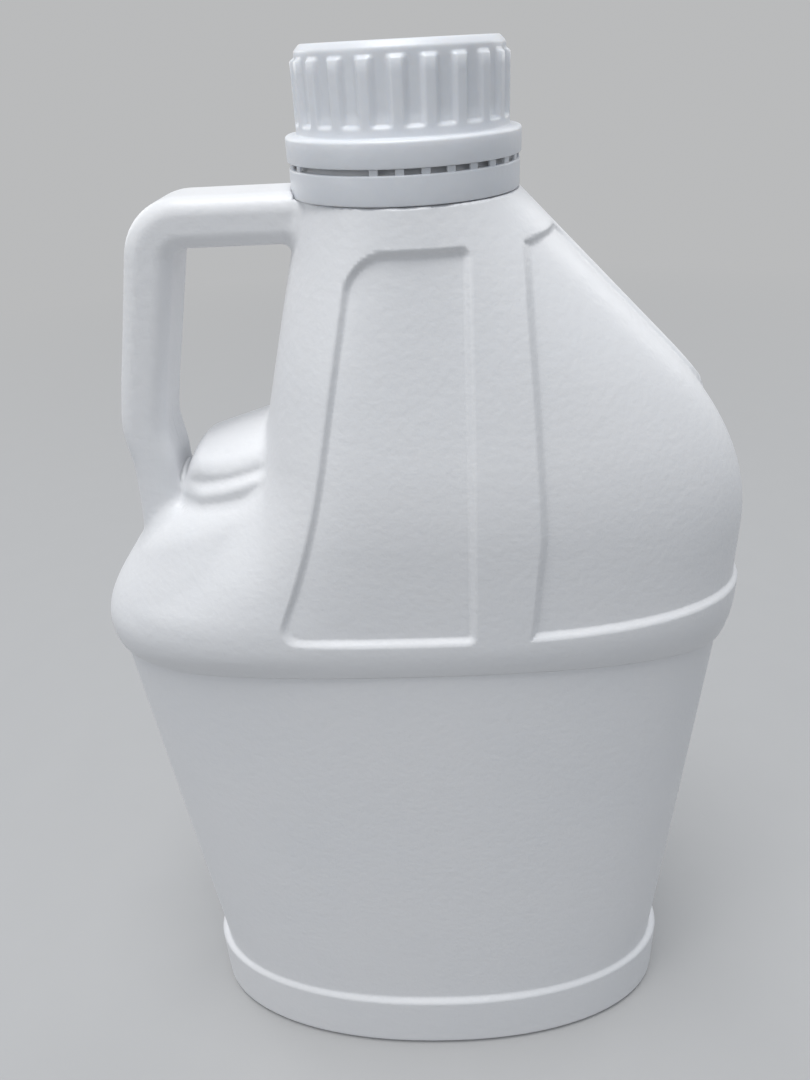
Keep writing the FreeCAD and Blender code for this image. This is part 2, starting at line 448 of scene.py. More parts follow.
def label_side(x, y, z):
    """Smooth oval wall between the base band and the waist, leaning out upwards."""
    left = label_foot_left + label_lean_left * z
    right = label_foot_right + label_lean_right * z
    depth = label_foot_depth + label_lean_depth * z
    return oval(x, y, np.where(x < 0, left, right), depth, label_power)


def label_zone(x, y, z):
    """Body inside the smooth wall, up into the shoulder."""
    return np.maximum(label_side(x, y, z), np.maximum(z - label_hidden_top, base_band_top / 2 - z))


def waist_height(x):
    """Height of the lip under the shoulder: level in front, dropping towards both ends."""
    share = np.abs(x) / np.where(x < 0, waist_end_left, waist_end_right)
    drop = np.where(x < 0, waist_drop_left, waist_drop_right)
    return waist_front_height - drop * share ** waist_drop_power


def shoulder(x, y, z):
    """Main volume above the waist, with the straight slope on its right."""
    right = soft_min(slope_sum - z, shoulder_right, slope_round)
    right = right - drawn_in(z, round_start_right, round_radius_right)
    flare = flare_reach * (np.maximum(0, flare_height - z) / flare_drop) ** 2
    throat = throat_top + throat_lean * (throat_height - z)
    left = soft_min(throat + flare, shoulder_left, flare_round)
    left = left - drawn_in(z, round_start_left, round_radius_left)
    leaning = shoulder_half_depth - front_lean * (z - fold_height)
    depth = soft_min(leaning, shoulder_half_depth, fold_round)
    depth = depth - drawn_in(z, round_start_front, round_radius_front)
    squareness = np.where(x < 0, neck_side_power, shoulder_power)
    power = between(squareness, neck_root_power, ease(neck_round_start, neck_root_height, z))
    side = oval(x, y, np.where(x < 0, left, right), depth, power)
    return round_cut(side, z - neck_root_height, neck_root_edge)


def handle_root(x, y, z):
    """Swelling that carries the handle down into the left end of the shoulder."""
    reach = root_reach + root_swell * ease(*root_swell_heights, z)
    reach = reach - drawn_in(z, round_start_left, round_radius_left)
    spread_top, spread_bottom = root_spread_heights
    spread_share = np.clip((spread_top - z) / (spread_top - spread_bottom), 0, 1)
    depth = root_depth + root_spread * np.sin(spread_share * math.pi / 2)
    depth = depth - drawn_in(z, round_start_front, round_radius_front)
    top = root_top + root_top_lean * (x - cushion_centre)
    root = round_cut(oval(x - root_centre, y, reach, depth, root_power), z - top, root_top_edge)
    tuck = label_side(x, y, z) - root_tuck - root_tuck_lean * (z - waist_height(x))
    return round_cut(root, tuck, root_tuck_round)


def cushion_plan(x, y):
    """Outline of the pad under the finger gap, seen from above."""
    power = np.where(x < cushion_centre, cushion_nose_power, cushion_power)
    return oval(x - cushion_centre, y, cushion_half_length, cushion_half_depth, power)


def cushion(x, y, z):
    """Domed pad under the finger gap."""
    top = cushion_top + cushion_lean * (x - cushion_centre) - cushion_dome * (y / cushion_half_depth) ** 2
    top = top - cushion_nose_bend * np.maximum(0, cushion_nose - x) ** 2
    return np.maximum(round_cut(cushion_plan(x, y), z - top, cushion_edge), panel_bottom - z)


def plinth(x, y, z):
    """Slightly wider step that the pad stands on."""
    top = cushion_top - plinth_drop + cushion_lean * (x - cushion_centre)
    margin = between(plinth_margin, plinth_end_margin, ease(*cushion_end_places, x))
    return np.maximum(round_cut(cushion_plan(x, y) - margin, z - top, plinth_edge), panel_bottom - z)


def handle(x, y, z):
    """Arm, round corner and grip, as one bar with rounded edges."""
    corner = Vector((handle_corner, arm_height))
    along = Vector((1, 0))
    down = (Vector(grip_line[-2]).yx - corner).normalized()
    half_turn = along.angle(down) / 2
    centre = corner + (along + down).normalized() * handle_corner_radius / math.sin(half_turn)
    past_arm = x > centre.x
    past_grip = (x - centre.x) * down.x + (z - centre.y) * down.y > 0
    grip_lean = smooth_line(grip_line, z + 0.5) - smooth_line(grip_line, z - 0.5)
    to_grip = np.abs(x - smooth_line(grip_line, z)) / np.hypot(1, grip_lean)
    to_arc = np.abs(np.hypot(x - centre.x, z - centre.y) - handle_corner_radius)
    to_arm = np.abs(z - arm_height)
    line = np.where(past_grip, to_grip, to_arc)
    line = np.where(past_arm, np.where(past_grip, np.minimum(to_arm, to_grip), to_arm), line)
    bar = round_cut(line - handle_half_thickness, np.abs(y) - handle_half_depth, handle_edge)
    return np.maximum.reduce([bar, x, grip_foot - z])


def main_panel_side(z):
    """Left edge of the large panel at a height."""
    bow = main_panel_bow * np.maximum(0, main_panel_bow_height - z) ** 2
    return main_panel_left - main_panel_lean * (main_panel_left_height - z) - bow


def main_panel(x, z):
    """Signed distance from the outline of the large panel beside the handle, in the front view."""
    left = main_panel_side(z) - x
    right = x - main_panel_right
    top = z - main_panel_top
    bottom = panel_bottom - z
    corners = [
        round_cut(left, top, main_panel_round_top),
        round_cut(left, bottom, main_panel_round_bottom),
        round_cut(right, np.maximum(top, bottom), main_panel_round_right),
    ]
    return np.maximum.reduce(corners)


def slope_panel(x, y, z):
    """Signed distance from the outline of the panel that runs round the sloped end up to its spine."""
    left = np.interp(z, *zip(*slope_panel_left)) - x
    top = z - slope_panel_top - slope_panel_top_lean * (x - slope_edge_line)
    spine = spine_half_width - np.abs(y) - spine_fade * ease(*spine_fade_heights, z)
    return np.maximum.reduce([left, panel_bottom - z, round_cut(top, spine, slope_panel_round)])


def panel_recess(x, y, z):
    """How deep the panels are sunk into the shoulder."""
    main = ease(panel_edge, -panel_edge, main_panel(x, z))
    slope = ease(panel_edge, -panel_edge, slope_panel(x, y, z))
    return panel_depth * np.maximum(main, slope)


def bottle_form(x, y, z):
    """Outside of the bottle without its neck."""
    foot_fillet = between(handle_foot_outer_fillet, handle_foot_fillet, ease(*handle_foot_places, x))
    side_part = round_union(handle_root(x, y, z), handle(x, y, z), foot_fillet)
    fillet = between(arm_fillet, root_fillet, ease(*fillet_heights, z))
    fillet = fillet + (lobe_fillet - root_fillet) * ease(*lobe_fillet_heights, z)
    upper = round_union(shoulder(x, y, z), side_part, fillet)
    at_end = ease(*cushion_end_places, x)
    upper = round_union(upper, cushion(x, y, z), between(cushion_fillet, cushion_end_fillet, at_end))
    upper = round_union(upper, plinth(x, y, z), between(plinth_crease, cushion_end_fillet, at_end))
    upper = round_cut(upper, waist_height(x) - z, waist_lip)
    lower = round_union(label_zone(x, y, z), base_band(x, y, z), base_cove)
    return round_union(upper, lower, waist_corner) + panel_recess(x, y, z)


def skin_form(x, y, z):
    """Outside of the bottle up to the collar of its neck, cut clear of the tamper band."""
    round_neck = np.hypot(x, y)
    pocket = np.maximum(round_neck - band_radius - band_pocket_gap, neck_root_height - z)
    collar = np.maximum.reduce([round_neck - collar_radius, z - bead_bottom, main_panel_top - z])
    body = round_cut(bottle_form(x, y, z), -pocket, band_pocket_edge)
    return round_union(body, collar, collar_fillet)


def hollow_form(x, y, z):
    """Inside of the bottle, one wall in from the outside, with the bore of the neck."""
    bore = np.maximum.reduce([np.hypot(x, y) - bore_radius, z - bead_bottom, bore_bottom - z])
    floor = push_up_rise + wall - z
    return round_union(np.maximum(bottle_form(x, y, z) + wall, floor), bore, bore_fillet)


def grid_lines(start, stops):
    """Grid coordinates from start through (stop, step) stretches, closer where edges are crisp."""
    values = [start]
    for stop, step in stops:
        count = max(1, round((stop - values[-1]) / step))
        values.extend(np.linspace(values[-1], stop, count + 1)[1:])
    return np.array(values)


def slope_of(form, points, step=0.05):
    """Gradient of a form at some points."""
    columns = []
    for axis in np.eye(3) * step:
        columns.append((form(*(points + axis).T) - form(*(points - axis).T)) / (2 * step))
    return np.stack(columns, 1)


def settle(form, points, rounds=4, longest=0.8, least=0.05):
    """Points moved onto the surface where a form is zero."""
    for _ in range(rounds):
        slope = slope_of(form, points)
        move = -form(*points.T)[:, None] * slope / np.maximum((slope ** 2).sum(1), least)[:, None]
        points = points + np.clip(move, -longest, longest)
    return points


def bent_grid(xs, ys, zs):
    """Grid whose lines follow the slanted panel edges and the dropping waist."""
    x, y, z = np.meshgrid(xs, ys, zs, indexing="ij")
    level = np.clip(z, panel_bottom, main_panel_top)
    main_share = np.interp(x, [bend_left_end, main_edge_line, main_panel_right - bend_margin], [0, 1, 0])
    slope_share = np.interp(x, [main_panel_right + bend_margin, slope_edge_line, bend_right_end], [0, 1, 0])
    main_share = main_share * ease(neck_root_height, main_panel_top, z)
    bent_x = x + main_share * (main_panel_side(level) - main_edge_line)
    bent_x = bent_x + slope_share * (np.interp(level, *zip(*slope_panel_left)) - slope_edge_line)
    drop = np.maximum(waist_height(bent_x) - waist_front_height, -bend_most)
    bent_z = z + drop * np.interp(z, bend_heights, [0, 1, 0])
    return bent_x, y, bent_z


def surface_net(form, grid):
    """Quads over the surface where a form is zero, with one vertex in each grid cell it passes through."""
    values = form(*grid)
    inside = values < 0
    cells = tuple(size - 1 for size in values.shape)
    total = np.zeros((math.prod(cells), 3))
    count = np.zeros(math.prod(cells))
    quads = []
    for axis in range(3):
        step = np.eye(3, dtype=int)[axis]
        changes = np.diff(inside.astype(np.int8), axis=axis) != 0
        near = np.argwhere(changes)
        far = near + step
        near_value = values[tuple(near.T)]
        far_value = values[tuple(far.T)]
        near_point = np.stack([line[tuple(near.T)] for line in grid], 1)
        far_point = np.stack([line[tuple(far.T)] for line in grid], 1)
        crossing = near_point + (far_point - near_point) * (near_value / (near_value - far_value))[:, None]
        corners = []
        for back_one, back_two in ((0, 0), (1, 0), (1, 1), (0, 1)):
            cell = near.copy()
            cell[:, (axis + 1) % 3] -= back_one
            cell[:, (axis + 2) % 3] -= back_two
            flat = np.ravel_multi_index(cell.T, cells)
            np.add.at(total, flat, crossing)
            np.add.at(count, flat, 1)
            corners.append(flat)
        loops = np.stack(corners, 1)
        leaving = inside[tuple(near.T)]
        quads.append(np.where(leaving[:, None], loops, loops[:, ::-1]))
    used = np.flatnonzero(count)
    place = np.full(len(count), -1)
    place[used] = np.arange(len(used))
    points = settle(form, total[used] / count[used, None])
    return points, place[np.concatenate(quads)]


def open_top(points, quads, radius, height):
    """Surface with its lid above the height taken off, and its open edge ordered round the neck."""
    lid = (np.hypot(points[:, 0], points[:, 1]) < radius) & (points[:, 2] > height)
    quads = quads[~lid[quads].any(1)]
    used = np.unique(quads)
    place = np.full(len(points), -1)
    place[used] = np.arange(len(used))
    points, quads = points[used], place[quads]
    edges = np.sort(np.concatenate([quads[:, [i, (i + 1) % 4]] for i in range(4)]), axis=1)
    edges, times = np.unique(edges, axis=0, return_counts=True)
    rim = np.unique(edges[times == 1])
    order = np.argsort(np.arctan2(points[rim, 1], points[rim, 0]))
    return points, quads, rim[order]


def zip_rings(points, lower, upper):
    """Triangles between two rings of vertices that are both ordered round the neck."""
    angles = [np.arctan2(points[ring, 1], points[ring, 0]) for ring in (lower, upper)]
    triangles = []
    low, high = 0, 0
    while low < len(lower) or high < len(upper):
        next_low = angles[0][low] if low < len(lower) else np.inf
        next_high = angles[1][high] if high < len(upper) else np.inf
        if next_low <= next_high:
            triangles.append((lower[low - 1], lower[low % len(lower)], upper[high - 1]))
            low += 1
        else:
            triangles.append((lower[low - 1], upper[high % len(upper)], upper[high - 1]))
            high += 1
    return triangles


def rounded_outline(corners, steps=4):
    """Outline through (radius, height, rounding) corners, each turned by an arc."""
    points = []
    for index, (radius, height, rounding) in enumerate(corners):
        here = Vector((radius, height))
        if not rounding:
            points.append(tuple(here))
            continue
        before = (Vector(corners[index - 1][:2]) - here).normalized()
        after = (Vector(corners[(index + 1) % len(corners)][:2]) - here).normalized()
        half_turn = before.angle(after) / 2
        centre = here + (before + after).normalized() * rounding / math.sin(half_turn)
        reach = rounding / math.tan(half_turn)
        first = here + before * reach - centre
        last = here + after * reach - centre
        for step in range(steps + 1):
            points.append(tuple(centre + first.lerp(last, step / steps).normalized() * rounding))
    return points


def turned_row(radii, height, angles):
    """Points at one height round the neck axis."""
    return np.stack([radii * np.cos(angles), radii * np.sin(angles), np.full_like(angles, height)], 1)


def ring_points(outline, angles, extra=None):
    """Rows of points that turn an outline round the neck axis, with an extra radius by angle and height."""
    rows = []
    for radius, height in outline:
        radii = radius + (extra(angles, height) if extra else 0 * angles)
        rows.append(turned_row(radii, height, angles))
    return np.array(rows)


def ring_quads(rows, columns, wrap):
    """Quads between neighbouring rows, closed round the axis where wrap is true."""
    index = np.arange(rows * columns).reshape(rows, columns)
    here = index if wrap else index[:, :-1]
    beside = np.roll(index, -1, axis=1) if wrap else index[:, 1:]
    return np.stack([here[:-1], beside[:-1], beside[1:], here[1:]], -1).reshape(-1, 4)


def thread_fade(along):
    """Share of the full thread depth after some turns, which fades at both ends."""
    return ease(0, thread_fade_turns, along) * ease(thread_turns, thread_turns - thread_fade_turns, along)


def thread_height(angles, height, start):
    """Share of the full thread depth on a wall at some angles and a height."""
    turn = np.mod(angles, 2 * math.pi) / (2 * math.pi)
    best = np.zeros_like(angles)
    for lap in range(math.ceil(thread_turns)):
        along = turn + lap
        aside = np.abs(height - start - thread_pitch * along)
        ridge = np.clip((thread_root_width / 2 - aside) / ((thread_root_width - thread_tip_width) / 2), 0, 1)
        best = np.maximum(best, ridge * thread_fade(along))
    return best


def new_piece(name, points, faces, material):
    """Mesh piece in metres from points in millimetres."""
    mesh = bpy.data.meshes.new(name)
    mesh.from_pydata((np.asarray(points) * MM).tolist(), [], [list(map(int, face)) for face in faces])
    mesh.validate()
    mesh.materials.append(material)
    piece = bpy.data.objects.new(name, mesh)
    bpy.context.scene.collection.objects.link(piece)
    return piece


def finish_shading(piece, sharp_angle):
    """Smooth faces with sharp edges above the angle."""
    piece.data.shade_smooth()
    piece.data.set_sharp_from_angle(angle=math.radians(sharp_angle))


def neck_rows():
    """Rows of the neck from its collar up over the rim and down the bore."""
    collar = rounded_outline([
        (collar_radius, skin_cut_height + skin_seam_gap, 0),
        (collar_radius, bead_bottom, bead_seat_edge),
        (bead_radius, bead_bottom, bead_seat_edge),
        (bead_radius, bead_top, bead_top_edge),
        (collar_radius, bead_top + bead_back_rise, bead_top_edge),
        (neck_radius, bead_top + neck_step_rise, neck_step_edge),
    ])
    heights = np.arange(bead_top + threaded_rise, rim_height - threaded_drop, threaded_row_step)
    threaded = [(neck_radius, height) for height in heights]
    rim = rounded_outline([
        (neck_radius, rim_height - rim_depth, 0),
        (neck_radius, rim_height, rim_edge),
        (bore_radius, rim_height, rim_edge),
        (bore_radius, rim_height - rim_depth, 0),
    ])
    heights = np.linspace(rim_height - bore_top_drop, bore_cut_height + bore_foot_gap, bore_row_count)
    bore = [(bore_radius, height) for height in heights]
    return collar + threaded + rim + bore


def make_bottle(material):
    """Hollow bottle as one closed shell: skin, threaded neck and inside."""
    fine = bent_grid(*(grid_lines(*lines) for lines in (skin_grid_x, skin_grid_y, skin_grid_z)))
    skin, skin_quads = surface_net(skin_form, fine)
    skin, skin_quads, skin_rim = open_top(skin, skin_quads, bead_radius, skin_cut_height)
    skin_normals = slope_of(skin_form, skin)
    coarse = [grid_lines(start, [(end, inside_grid_step)]) for start, end in inside_grid_ends]
    inside, inside_quads = surface_net(hollow_form, np.meshgrid(*coarse, indexing="ij"))
    inside, inside_quads, inside_rim = open_top(inside, inside_quads, bead_radius, bore_cut_height)
    inside_normals = -slope_of(hollow_form, inside)
    angles = np.linspace(-math.pi, math.pi, neck_segments, endpoint=False)
    outline = neck_rows()
    rim_middle = (neck_radius + bore_radius) / 2
    bore_start = next(i for i, (radius, _) in enumerate(outline) if radius < rim_middle)
    thread_start = rim_height - thread_start_drop

    def ridge(angles, height):
        return thread_depth * thread_height(angles, height, thread_start)

    outer = ring_points(outline[:bore_start], angles, ridge)
    inner = ring_points(outline[bore_start:], angles)
    neck = np.concatenate([outer, inner]).reshape(-1, 3)
    neck_start = len(skin)
    inside_start = neck_start + len(neck)
    points = np.concatenate([skin, neck, inside])
    neck_quads = ring_quads(len(outline), neck_segments, True) + neck_start
    first_ring = np.arange(neck_segments) + neck_start
    last_ring = first_ring + neck_segments * (len(outline) - 1)
    seams = zip_rings(points, skin_rim, first_ring)
    seams += zip_rings(points, last_ring, inside_rim + inside_start)
    inside_quads = inside_quads[:, ::-1] + inside_start
    faces = skin_quads.tolist() + neck_quads.tolist() + inside_quads.tolist() + seams
    normals = np.concatenate([skin_normals, np.zeros_like(neck), inside_normals])
    lengths = np.maximum(np.linalg.norm(normals, axis=1, keepdims=True), 1e-9)
    bottle = new_piece("bottle_shell", points, faces, material)
    finish_shading(bottle, body_sharp_angle)
    bottle.data.normals_split_custom_set_from_vertices((normals / lengths).tolist())
    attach(bottle, "bottle")
    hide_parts("bottle_body")


def feed(tree, socket, value):
    """Set a socket to a number or colour, or link it to another node's socket."""
    if isinstance(value, bpy.types.NodeSocket):
        tree.links.new(value, socket)
    else:
        socket.default_value = value


def calculate(tree, operation, *values):
    """Result of a math node on numbers or other nodes' sockets."""
    made = tree.nodes.new("ShaderNodeMath")
    made.operation = operation
    for socket, value in zip(made.inputs, values):
        feed(tree, socket, value)
    return made.outputs[0]


def spread_tree():
    """Node tree that copies a shape round the neck axis in runs of even steps."""
    tree = bpy.data.node_groups.new("copies_round_axis", "GeometryNodeTree")
    face = tree.interface
    face.new_socket("Shape", in_out="INPUT", socket_type="NodeSocketGeometry")
    kinds = {
        "Copies": "Int",
        "Copies in a Run": "Int",
        "First Angle": "Float",
        "Step Angle": "Float",
        "Run Angle": "Float",
        "Finish": "Material",
    }
    for name, kind in kinds.items():
        face.new_socket(name, in_out="INPUT", socket_type="NodeSocket" + kind)
    face.new_socket("Copied", in_out="OUTPUT", socket_type="NodeSocketGeometry")
    given = tree.nodes.new("NodeGroupInput").outputs

    # Half is added to the index before the division, so that rounding down can't give the run before
    index = tree.nodes.new("GeometryNodeInputIndex").outputs[0]
    runs = calculate(tree, "DIVIDE", calculate(tree, "ADD", index, 0.5), given["Copies in a Run"])
    run = calculate(tree, "FLOOR", runs)
    place = calculate(tree, "SUBTRACT", index, calculate(tree, "MULTIPLY", run, given["Copies in a Run"]))
    step_angle = calculate(tree, "MULTIPLY", place, given["Step Angle"])
    run_angle = calculate(tree, "MULTIPLY", run, given["Run Angle"])
    angle = calculate(tree, "ADD", calculate(tree, "ADD", step_angle, run_angle), given["First Angle"])
    turn = tree.nodes.new("ShaderNodeCombineXYZ")
    tree.links.new(angle, turn.inputs["Z"])
    rotation = tree.nodes.new("FunctionNodeEulerToRotation")
    tree.links.new(turn.outputs[0], rotation.inputs[0])
    seats = tree.nodes.new("GeometryNodePoints")
    tree.links.new(given["Copies"], seats.inputs["Count"])
    copies = tree.nodes.new("GeometryNodeInstanceOnPoints")
    tree.links.new(seats.outputs[0], copies.inputs["Points"])
    tree.links.new(given["Shape"], copies.inputs["Instance"])
    tree.links.new(rotation.outputs[0], copies.inputs["Rotation"])
    real = tree.nodes.new("GeometryNodeRealizeInstances")
    tree.links.new(copies.outputs[0], real.inputs[0])
    merged = tree.nodes.new("GeometryNodeMergeByDistance")
    merged.inputs["Distance"].default_value = copy_weld * MM
    tree.links.new(real.outputs[0], merged.inputs[0])
    finish = tree.nodes.new("GeometryNodeSetMaterial")
    tree.links.new(merged.outputs[0], finish.inputs["Geometry"])
    tree.links.new(given["Finish"], finish.inputs["Material"])
    tree.links.new(finish.outputs[0], tree.nodes.new("NodeGroupOutput").inputs[0])
    return tree


def spread(piece, tree, material, copies, run, first, step, run_angle):
    """Plain mesh of the copies that the tree makes of a piece."""
    modifier = piece.modifiers.new("copies", "NODES")
    modifier.node_group = tree
    values = {
        "Copies": copies,
        "Copies in a Run": run,
        "First Angle": math.radians(first),
        "Step Angle": math.radians(step),
        "Run Angle": math.radians(run_angle),
        "Finish": material,
    }
    for item in tree.interface.items_tree:
        if item.in_out == "INPUT" and item.name in values:
            modifier[item.identifier] = values[item.name]
    apply_modifiers(piece)


def apply_modifiers(piece):
    """Swap a piece's mesh for what its modifiers make of it."""
    graph = bpy.context.evaluated_depsgraph_get()
    mesh = bpy.data.meshes.new_from_object(piece.evaluated_get(graph))
    piece.modifiers.clear()
    piece.data = mesh


def fuse(piece, other):
    """Join another closed piece to a piece as one closed skin."""
    joiner = piece.modifiers.new("fuse", "BOOLEAN")
    joiner.operation = "UNION"
    joiner.solver = "MANIFOLD"
    joiner.object = other
    apply_modifiers(piece)
    bpy.data.objects.remove(other)


def rib_columns():
    """Angles across one rib and half a groove on each side, closer at the edges of the rib."""
    half_pitch = math.pi / rib_count
    aside = [0, 0.5 * rib_half_width]
    aside += [rib_half_width + rib_edge * share for share in (-1, -0.5, 0, 0.5, 1)]
    aside = [value / rib_radius for value in aside]
    aside += [0.5 * (aside[-1] + half_pitch), half_pitch]
    return np.array([-value for value in aside[:0:-1]] + aside)


def rib_share(angles):
    """Share of the rib depth across one rib."""
    aside = np.abs(angles) * rib_radius
    return ease(rib_half_width + rib_edge, rib_half_width - rib_edge, aside)


def cap_sector_rows(angles):
    """Rows of one rib's share of the cap, from the middle of the crown down the outside and up the inside."""
    crown = rounded_outline([
        (0.0, cap_top, 0),
        (cap_wall_radius - crown_bevel, cap_top, crown_edge),
        (cap_wall_radius, cap_top - crown_drop, crown_edge),
        (cap_wall_radius, cap_top - crown_drop - crown_edge, 0),
    ])
    head = [rib_head_height - rib_head_rise * share for share in (0, 0.25, 0.5, 0.75, 1.0)]
    foot = [rib_foot_height + rib_foot_rise * share for share in (1.0, 0.75, 0.5, 0.25, 0)]
    middle = list(np.linspace(head[-1], foot[0], 6)[1:-1])
    rows = [(radius, height, 0.0) for radius, height in crown if height > rib_head_height]
    depth = rib_radius - cap_wall_radius
    for height in head + middle + foot:
        rising = ease(rib_head_height, rib_head_height - rib_head_rise, height)
        filled = ease(rib_foot_height + rib_foot_rise, rib_foot_height, height)
        rows.append((cap_wall_radius + depth * filled, height, depth * rising * (1 - filled)))
    below = rounded_outline([
        (rib_radius, rib_foot_height - rib_foot_gap, 0),
        (rib_radius, skirt_top, skirt_root_edge),
        (skirt_radius, skirt_top, skirt_top_edge),
        (skirt_radius, cap_bottom, skirt_foot_edge),
        (skirt_radius - skirt_wall, cap_bottom, skirt_foot_edge),
        (skirt_radius - skirt_wall, skirt_top - skirt_wall, skirt_inner_edge),
        (cap_inner_radius, skirt_top - skirt_wall, cap_bore_edge),
        (cap_inner_radius, liner_top, crown_inner_edge),
        (0.0, liner_top, 0),
    ])
    rows += [(radius, height, 0.0) for radius, height in below]
    share = rib_share(angles)
    return np.array([turned_row(radius + extra * share, height, angles) for radius, height, extra in rows])


def thread_piece(name, wall_radius, start, material):
    """Closed helical ridge on the inside of a wall, sunk a little into it."""
    root = wall_radius + thread_sink
    tip = wall_radius - thread_depth
    section = [
        (root, -thread_root_width / 2),
        (root, thread_root_width / 2),
        (tip, thread_tip_width / 2),
        (tip, -thread_tip_width / 2),
    ]
    points = []
    faces = []
    for step in range(thread_steps + 1):
        share = step / thread_steps
        angle = 2 * math.pi * thread_turns * share
        height = start + thread_pitch * thread_turns * share
        depth_share = max(float(thread_fade(share * thread_turns)), thread_least_share)
        for radius, rise in section:
            radius = root - (root - radius) * depth_share
            points.append((radius * math.cos(angle), radius * math.sin(angle), height + rise))
    size = len(section)
    for step in range(thread_steps):
        for i in range(size):
            j = (i + 1) % size
            low = step * size
            faces.append((low + i, low + size + i, low + size + j, low + j))
    faces.append(tuple(range(size)))
    last = thread_steps * size
    faces.append(tuple(range(last + size - 1, last - 1, -1)))
    return new_piece(name, points, faces, material)


def make_cap(tree, material):
    """Ribbed cap: one rib's share copied round the axis, with a thread inside."""
    angles = rib_columns()
    rows = cap_sector_rows(angles)
    faces = ring_quads(len(rows), len(angles), False)[:, ::-1]
    cap = new_piece("ribbed_cap", rows.reshape(-1, 3), faces, material)
    spread(cap, tree, material, rib_count, rib_count, rib_first_angle, 360.0 / rib_count, 0.0)
    start = rim_height - thread_start_drop + thread_pitch / 2
    fuse(cap, thread_piece("cap_thread", cap_inner_radius, start, material))
    finish_shading(cap, cap_sharp_angle)
    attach(cap, "cap")
    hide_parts("screw_cap")


def turned_piece(name, outline, material):
    """Closed ring or disc turned from an outline."""
    angles = np.linspace(-math.pi, math.pi, turned_segments, endpoint=False)
    closed = outline + outline[:1]
    rows = ring_points(closed, angles)
    faces = ring_quads(len(rows), turned_segments, True)
    piece = new_piece(name, rows.reshape(-1, 3), faces, material)
    merge_doubles(piece)
    return piece


def merge_doubles(piece):
    """Weld coincident vertices and turn all faces outwards."""
    work = bmesh.new()
    work.from_mesh(piece.data)
    bmesh.ops.remove_doubles(work, verts=work.verts, dist=seam_weld * MM)
    bmesh.ops.recalc_face_normals(work, faces=work.faces)
    work.to_mesh(piece.data)
    work.free()


def make_band(tree, material):
    """Tamper band with its lip, and a row of thin bridges on its top edge."""
    lip_radius = collar_radius + band_running_gap
    bead_bore = bead_radius + band_running_gap
    band = turned_piece("tamper_ring", rounded_outline([
        (lip_radius, band_bottom, band_lip_edge),
        (band_radius, band_bottom, band_foot_edge),
        (band_radius, band_top, band_top_edge),
        (bead_bore, band_top, band_bore_edge),
        (bead_bore, lip_top, band_lip_edge),
        (lip_radius, lip_top, band_lip_edge),
    ]), material)
    near = band_radius - bridge_inset
    far = near + bridge_depth
    side = bridge_width / 2
    section = ((near, -side), (far, -side), (far, side), (near, side))
    corners = [(x, y, z) for z in (band_top - bridge_sink, bridge_top) for x, y in section]
    box = [(3, 2, 1, 0), (4, 5, 6, 7), (0, 1, 5, 4), (1, 2, 6, 5), (2, 3, 7, 6), (3, 0, 4, 7)]
    bridges = new_piece("bridges", corners, box, material)
    count = 2 * bridges_per_side
    spread(bridges, tree, material, count, bridges_per_side, bridge_first_angle, bridge_pitch_angle, 180.0)
    fuse(band, bridges)
    finish_shading(band, cap_sharp_angle)
    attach(band, "band")
    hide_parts("tamper_band")


def make_liner(material):
    """Foam disc with a rounded rim."""
    liner = turned_piece("foam_liner", rounded_outline([
        (0.0, liner_bottom, 0),
        (liner_radius, liner_bottom, liner_edge),
        (liner_radius, liner_top, liner_edge),
        (0.0, liner_top, 0),
    ]), material)
    finish_shading(liner, cap_sharp_angle)
    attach(liner, "liner")
    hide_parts("cap_liner")


def new_material(name):
    """Empty node material with its main shader."""
    material = bpy.data.materials.new(name)
    material.use_nodes = True
    return material, material.node_tree, material.node_tree.nodes["Principled BSDF"]


def add_node(tree, kind, settings=(), **inputs):
    """Shader node with its settings and inputs, where an input may be another node's socket."""
    made = tree.nodes.new(kind)
    for key, value in dict(settings).items():
        setattr(made, key, value)
    for key, value in inputs.items():
        feed(tree, made.inputs[key.replace("_", " ")], value)
    return made


def noise(tree, place, scale, detail):
    """Noise of a size given in lumps per metre."""
    return add_node(tree, "ShaderNodeTexNoise", Vector=place, Scale=scale, Detail=detail).outputs["Fac"]


def in_range(tree, value, low, high, from_low=0.35, from_high=0.65):
    """Value brought from one range into another."""
    inputs = {"From_Min": from_low, "From_Max": from_high, "To_Min": low, "To_Max": high}
    return add_node(tree, "ShaderNodeMapRange", Value=value, **inputs).outputs["Result"]


def bumped(tree, height, distance, strength, below=None):
    """Bump, on top of another bump where one is given."""
    made = add_node(tree, "ShaderNodeBump", Height=height, Distance=distance, Strength=strength)
    if below:
        tree.links.new(below, made.inputs["Normal"])
    return made.outputs["Normal"]


def two_tones(tree, share, first, second):
    """Colour between two tones."""
    made = tree.nodes.new("ShaderNodeMix")
    made.data_type = "RGBA"
    tree.links.new(share, made.inputs["Factor"])
    # The mix node has sockets for every kind of value, and these are the ones for colours
    feed(tree, made.inputs[6], first)
    feed(tree, made.inputs[7], second)
    return made.outputs[2]


def mix_shaders(tree, share, first, second, output):
    """Mix of two shaders as the output of a material or a world."""
    mixed = add_node(tree, "ShaderNodeMixShader", Fac=share)
    tree.links.new(first.outputs[0], mixed.inputs[1])
    tree.links.new(second.outputs[0], mixed.inputs[2])
    tree.links.new(mixed.outputs[0], tree.nodes[output].inputs["Surface"])


